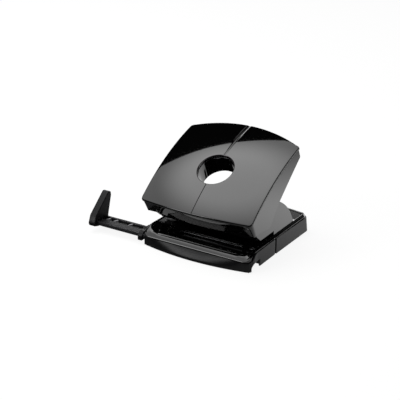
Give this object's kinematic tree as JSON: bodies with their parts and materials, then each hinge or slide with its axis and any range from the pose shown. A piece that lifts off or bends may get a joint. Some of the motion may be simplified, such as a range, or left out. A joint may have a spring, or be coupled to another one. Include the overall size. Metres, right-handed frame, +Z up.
{
  "type": "paper drill",
  "caption": "Desk punch with a crowned lever handle over a low base, two punch pins, a paper slot, a sliding paper guide rail with a slanted stop, and a hinged chip tray.",
  "frame": {"origin": "on the table, on the underside of the tray mat, midway between the side walls and midway between the front and rear corners of the base", "axes": "+X to the user's right along the base, +Y to the rear, +Z up"},
  "size_m": [0.1648, 0.1168, 0.0928],
  "materials": {
    "gloss_abs": "polished injection-moulded ABS",
    "matt_abs": "fine spark-eroded grain",
    "rail_plastic": "satin",
    "zinc_steel": "zinc plated sheet",
    "ground_steel": "ground",
    "spring_steel": "drawn wire and strip",
    "screw_steel": "zinc plated",
    "nylon": "natural nylon",
    "rubber": "soft, matt",
    "clear_plastic": "clear moulded plastic"
  },
  "bodies": {
    "root": {"axle": "ground_steel", "axle_clips": "spring_steel", "base_deck": "gloss_abs", "base_frame": "matt_abs", "deck_screws": "screw_steel", "detent_spring": "spring_steel", "die_plate": "zinc_steel", "frame_screws": "screw_steel", "front_feet": "rubber", "mechanism_cover": "gloss_abs", "punch_frame": "zinc_steel", "rail_collar": "matt_abs", "rail_window": "clear_plastic", "return_spring_left": "spring_steel", "return_spring_right": "spring_steel", "side_cheek_left": "gloss_abs", "side_cheek_right": "gloss_abs"},
    "lever": {"handle_cover": "gloss_abs", "handle_shell": "gloss_abs", "lever_yoke": "zinc_steel", "press_bar": "ground_steel", "lever_bushings": "nylon", "lever_screws": "screw_steel"},
    "pin_left": {"punch_pin_left": "ground_steel", "pin_head_left": "ground_steel"},
    "pin_right": {"punch_pin_right": "ground_steel", "pin_head_right": "ground_steel"},
    "rail": {"guide_rail": "rail_plastic", "rail_marks": "rail_plastic", "rail_stop": "matt_abs", "stop_screw": "screw_steel"},
    "tray": {"chip_tray": "matt_abs", "tray_mat": "rubber"}
  },
  "joints": [
    {"name": "handle_press", "type": "hinge", "parent": "root", "child": "lever", "pos_m": [0, -0.03, 0.0333], "axis": [-1, 0, 0], "range_deg": [0, 33], "stiffness_Nm_per_rad": 0.25, "springref_deg": -28.65},
    {"name": "pin_left_slide", "type": "slide", "parent": "root", "child": "pin_left", "axis": [0, 0, -1], "range_m": [0, 0.0074], "deforming": ["return_spring_left"]},
    {"name": "pin_right_slide", "type": "slide", "parent": "root", "child": "pin_right", "axis": [0, 0, -1], "range_m": [0, 0.0074], "deforming": ["return_spring_right"]},
    {"name": "rail_slide", "type": "slide", "parent": "root", "child": "rail", "axis": [-1, 0, 0], "range_m": [-0.0365, 0.0435]},
    {"name": "tray_open", "type": "hinge", "parent": "root", "child": "tray", "pos_m": [0, -0.0292, 0.0028], "axis": [-1, 0, 0], "range_deg": [0, 60]}
  ],
  "couplings": [
    {"joint": "pin_left_slide", "follows": "handle_press", "m_per_rad": 0.012675},
    {"joint": "pin_right_slide", "follows": "handle_press", "m_per_rad": 0.012675}
  ]
}
